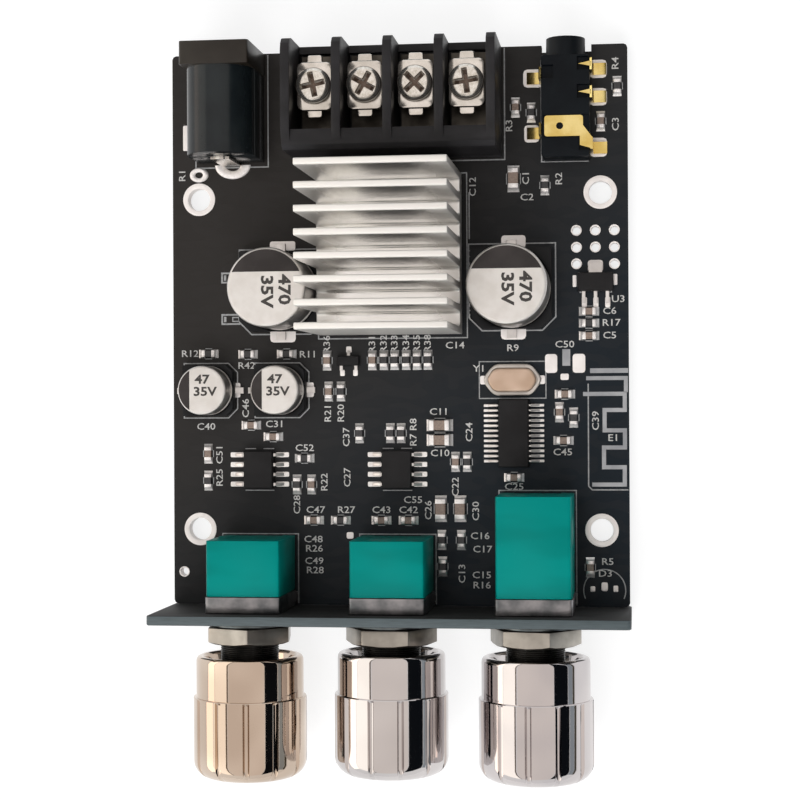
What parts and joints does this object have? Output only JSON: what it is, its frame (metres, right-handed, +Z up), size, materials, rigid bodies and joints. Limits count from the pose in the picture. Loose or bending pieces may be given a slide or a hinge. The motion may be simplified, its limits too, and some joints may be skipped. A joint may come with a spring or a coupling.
{
  "type": "audio amplifier board",
  "caption": "Compact stereo audio amplifier circuit board with rotary controls on a front panel, screw terminals, power and signal jacks and a finned heat sink.",
  "frame": {"origin": "under the middle of the whole object, level with the tips of the soldered leads it stands on", "axes": "+X to the right seen from the knobs, +Y from the knobs to the connectors, +Z up from the board's component side"},
  "size_m": [0.0594, 0.0926, 0.0236],
  "materials": {
    "laminate": "satin",
    "panel": "gloss",
    "black_moulding": "satin",
    "teal_moulding": "satin",
    "plated_steel": "satin",
    "bright_nickel": "polished",
    "knob_plating": "polished",
    "aluminium": "satin",
    "tinned_copper": "satin",
    "gilt_bronze": "polished",
    "chip_epoxy": "matte",
    "thermal_grey": "matte"
  },
  "bodies": {
    "board": {"circuit_board": "laminate", "front_panel": "panel", "pot_case_left": "teal_moulding", "pot_case_middle": "teal_moulding", "pot_case_right": "teal_moulding", "pot_bracket_left": "plated_steel", "pot_bracket_middle": "plated_steel", "pot_bracket_right": "plated_steel", "pot_washer_left": "plated_steel", "pot_washer_middle": "plated_steel", "pot_washer_right": "plated_steel", "pot_nut_left": "plated_steel", "pot_nut_middle": "plated_steel", "pot_nut_right": "plated_steel", "heat_sink": "aluminium", "thermal_pad": "thermal_grey", "amplifier_chip": "chip_epoxy", "terminal_block": "black_moulding", "terminal_contact_1": "tinned_copper", "terminal_contact_2": "tinned_copper", "terminal_contact_3": "tinned_copper", "terminal_contact_4": "tinned_copper", "supply_jack_case": "black_moulding", "supply_jack_pin": "bright_nickel", "supply_jack_sleeve": "bright_nickel", "supply_jack_switch": "bright_nickel", "input_jack_case": "black_moulding", "input_jack_spring": "gilt_bronze", "input_jack_lead_1": "gilt_bronze", "input_jack_lead_2": "gilt_bronze", "input_jack_lead_3": "gilt_bronze", "input_jack_lead_4": "gilt_bronze", "supply_capacitor_left_can": "aluminium", "supply_capacitor_left_base": "black_moulding", "supply_capacitor_right_can": "aluminium", "supply_capacitor_right_base": "black_moulding", "signal_capacitor_left_can": "aluminium", "signal_capacitor_left_base": "black_moulding", "signal_capacitor_middle_can": "aluminium", "signal_capacitor_middle_base": "black_moulding", "crystal": "bright_nickel", "control_chip": "chip_epoxy", "preamp_chip_left": "chip_epoxy", "preamp_chip_right": "chip_epoxy", "regulator": "chip_epoxy", "transistor": "chip_epoxy"},
    "control_left": {"pot_shaft_left": "aluminium", "knob_left": "knob_plating"},
    "control_middle": {"pot_shaft_middle": "aluminium", "knob_middle": "knob_plating"},
    "control_right": {"pot_shaft_right": "aluminium", "knob_right": "knob_plating"},
    "clamp_1": {"clamp_plate_1": "bright_nickel"},
    "clamp_2": {"clamp_plate_2": "bright_nickel"},
    "clamp_3": {"clamp_plate_3": "bright_nickel"},
    "clamp_4": {"clamp_plate_4": "bright_nickel"},
    "screw_1": {"terminal_screw_1": "bright_nickel"},
    "screw_2": {"terminal_screw_2": "bright_nickel"},
    "screw_3": {"terminal_screw_3": "bright_nickel"},
    "screw_4": {"terminal_screw_4": "bright_nickel"}
  },
  "joints": [
    {"name": "turn_left", "type": "hinge", "parent": "board", "child": "control_left", "pos_m": [-0.0181, -0.0254, 0.00995], "axis": [0, 1, 0], "range_deg": [-150, 150]},
    {"name": "turn_middle", "type": "hinge", "parent": "board", "child": "control_middle", "pos_m": [-0.0001, -0.0254, 0.00995], "axis": [0, 1, 0], "range_deg": [-150, 150]},
    {"name": "turn_right", "type": "hinge", "parent": "board", "child": "control_right", "pos_m": [0.0179, -0.0254, 0.00995], "axis": [0, 1, 0], "range_deg": [-150, 150]},
    {"name": "clamp_1_slide", "type": "slide", "parent": "board", "child": "clamp_1", "axis": [0, 0, 1], "range_m": [-0.0033, 0]},
    {"name": "clamp_2_slide", "type": "slide", "parent": "board", "child": "clamp_2", "axis": [0, 0, 1], "range_m": [-0.0033, 0]},
    {"name": "clamp_3_slide", "type": "slide", "parent": "board", "child": "clamp_3", "axis": [0, 0, 1], "range_m": [-0.0033, 0]},
    {"name": "clamp_4_slide", "type": "slide", "parent": "board", "child": "clamp_4", "axis": [0, 0, 1], "range_m": [-0.0033, 0]},
    {"name": "screw_1_turn", "type": "hinge", "parent": "clamp_1", "child": "screw_1", "pos_m": [-0.00923, 0.0401, 0.011], "axis": [0, 0, 1], "range_deg": [-2376.2, 0]},
    {"name": "screw_2_turn", "type": "hinge", "parent": "clamp_2", "child": "screw_2", "pos_m": [-0.00287, 0.0401, 0.011], "axis": [0, 0, 1], "range_deg": [-2376.2, 0]},
    {"name": "screw_3_turn", "type": "hinge", "parent": "clamp_3", "child": "screw_3", "pos_m": [0.00347, 0.0401, 0.011], "axis": [0, 0, 1], "range_deg": [-2376.2, 0]},
    {"name": "screw_4_turn", "type": "hinge", "parent": "clamp_4", "child": "screw_4", "pos_m": [0.00983, 0.0401, 0.011], "axis": [0, 0, 1], "range_deg": [-2376.2, 0]}
  ],
  "couplings": [
    {"joint": "screw_1_turn", "follows": "clamp_1_slide", "rad_per_m": 12566},
    {"joint": "screw_2_turn", "follows": "clamp_2_slide", "rad_per_m": 12566},
    {"joint": "screw_3_turn", "follows": "clamp_3_slide", "rad_per_m": 12566},
    {"joint": "screw_4_turn", "follows": "clamp_4_slide", "rad_per_m": 12566}
  ]
}
